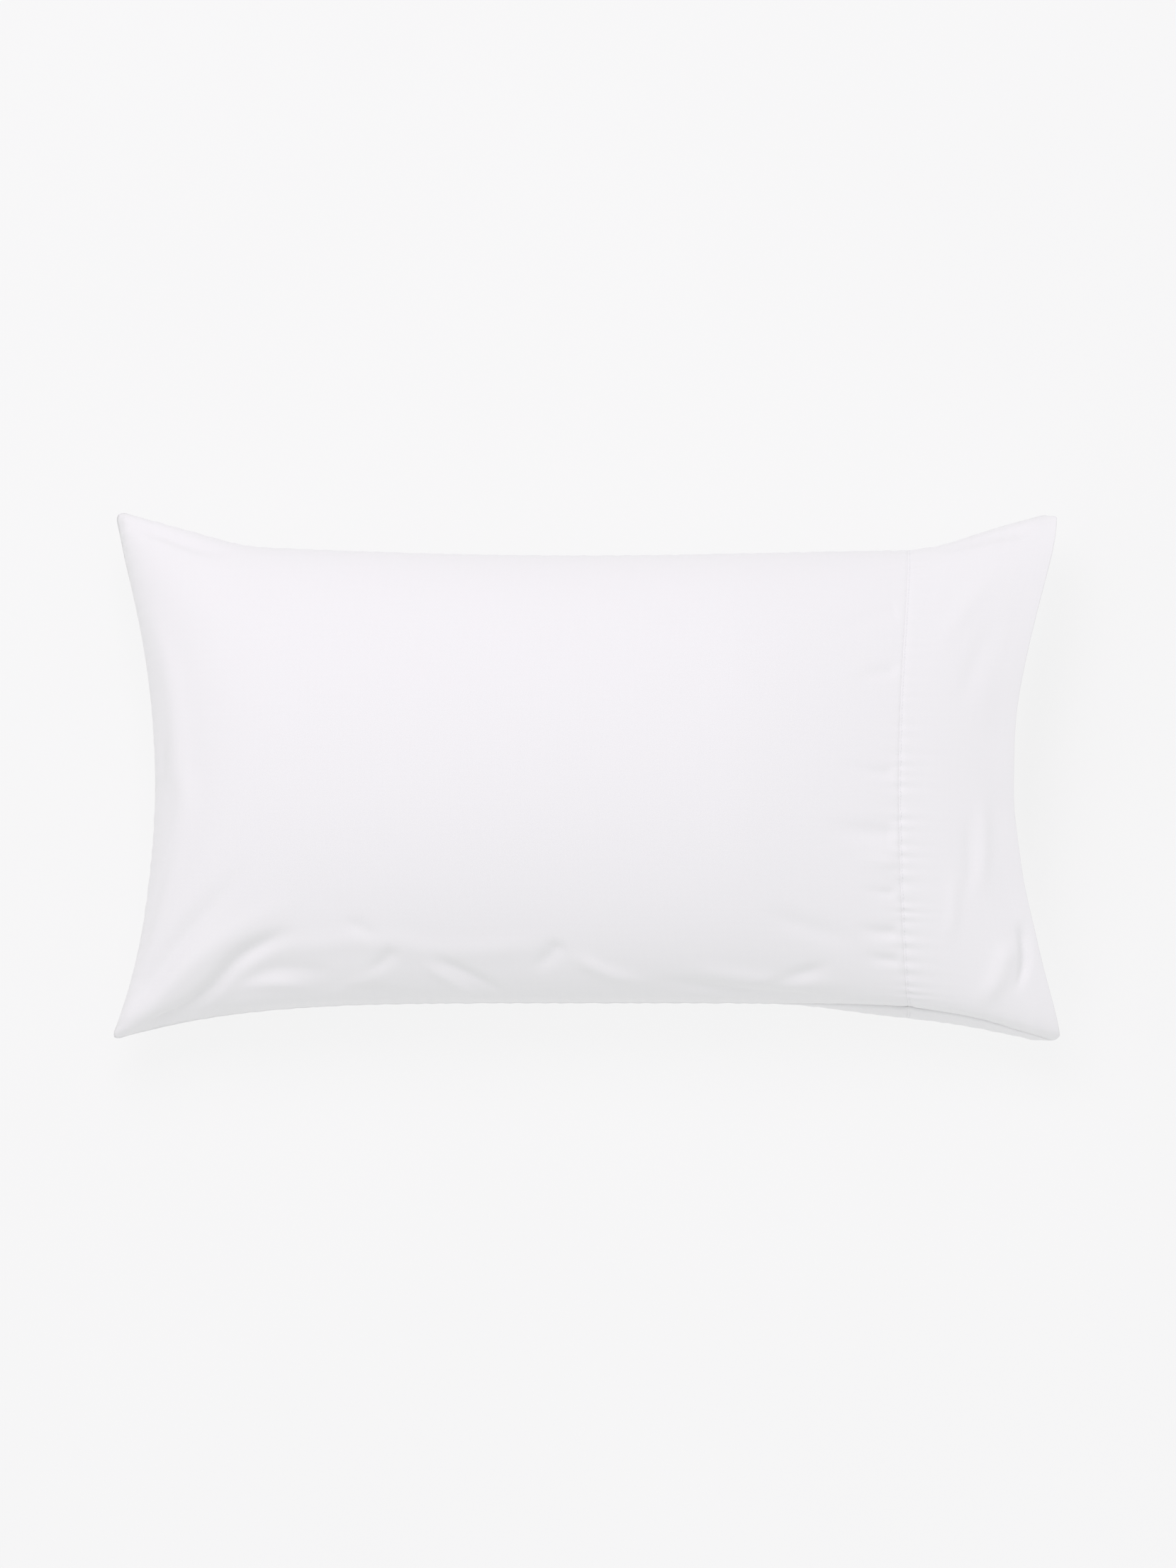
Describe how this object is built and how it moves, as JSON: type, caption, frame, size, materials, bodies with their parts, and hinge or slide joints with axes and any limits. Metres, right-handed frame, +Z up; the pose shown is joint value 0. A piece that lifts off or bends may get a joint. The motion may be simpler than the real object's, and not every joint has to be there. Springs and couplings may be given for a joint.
{
  "type": "bed pillow",
  "caption": "Oblong fibre-filled bed pillow in a plain white open-ended cotton pillowcase with a deep stitched hem; the insert slides out through the open end.",
  "frame": {"origin": "on the surface it lies on, under the middle of its footprint", "axes": "+X along the pillow's length towards the open end of the case, +Y across it towards the upper side seam, +Z up"},
  "size_m": [0.8456, 0.4846, 0.176],
  "materials": {
    "case_cotton": "fine white cotton percale",
    "hem_cotton": "fine white cotton percale, folded double",
    "thread": "white polyester sewing thread",
    "ticking": "off-white close-woven cotton ticking",
    "fibre": "white polyester fibre",
    "label_satin": "white woven satin ribbon, blank"
  },
  "bodies": {
    "pillowcase": {"case_front_panel": "case_cotton", "case_back_panel": "case_cotton", "hem_band_front": "hem_cotton", "hem_band_back": "hem_cotton", "hem_stitching_front": "thread", "hem_stitching_back": "thread", "upper_side_seam": "case_cotton", "lower_side_seam": "case_cotton", "closed_end_seam": "case_cotton", "case_care_label": "label_satin"},
    "insert": {"ticking_top": "ticking", "ticking_bottom": "ticking", "ticking_piping": "ticking", "fibre_fill": "fibre", "filling_gap_stitch": "thread", "insert_care_label": "label_satin"}
  },
  "joints": [
    {"name": "insert_slide", "type": "slide", "parent": "pillowcase", "child": "insert", "axis": [1, 0, 0], "range_m": [0, 0.86], "deforming": ["case_front_panel", "case_back_panel", "hem_band_front", "hem_band_back", "hem_stitching_front", "hem_stitching_back", "upper_side_seam", "lower_side_seam", "closed_end_seam", "case_care_label"]}
  ]
}
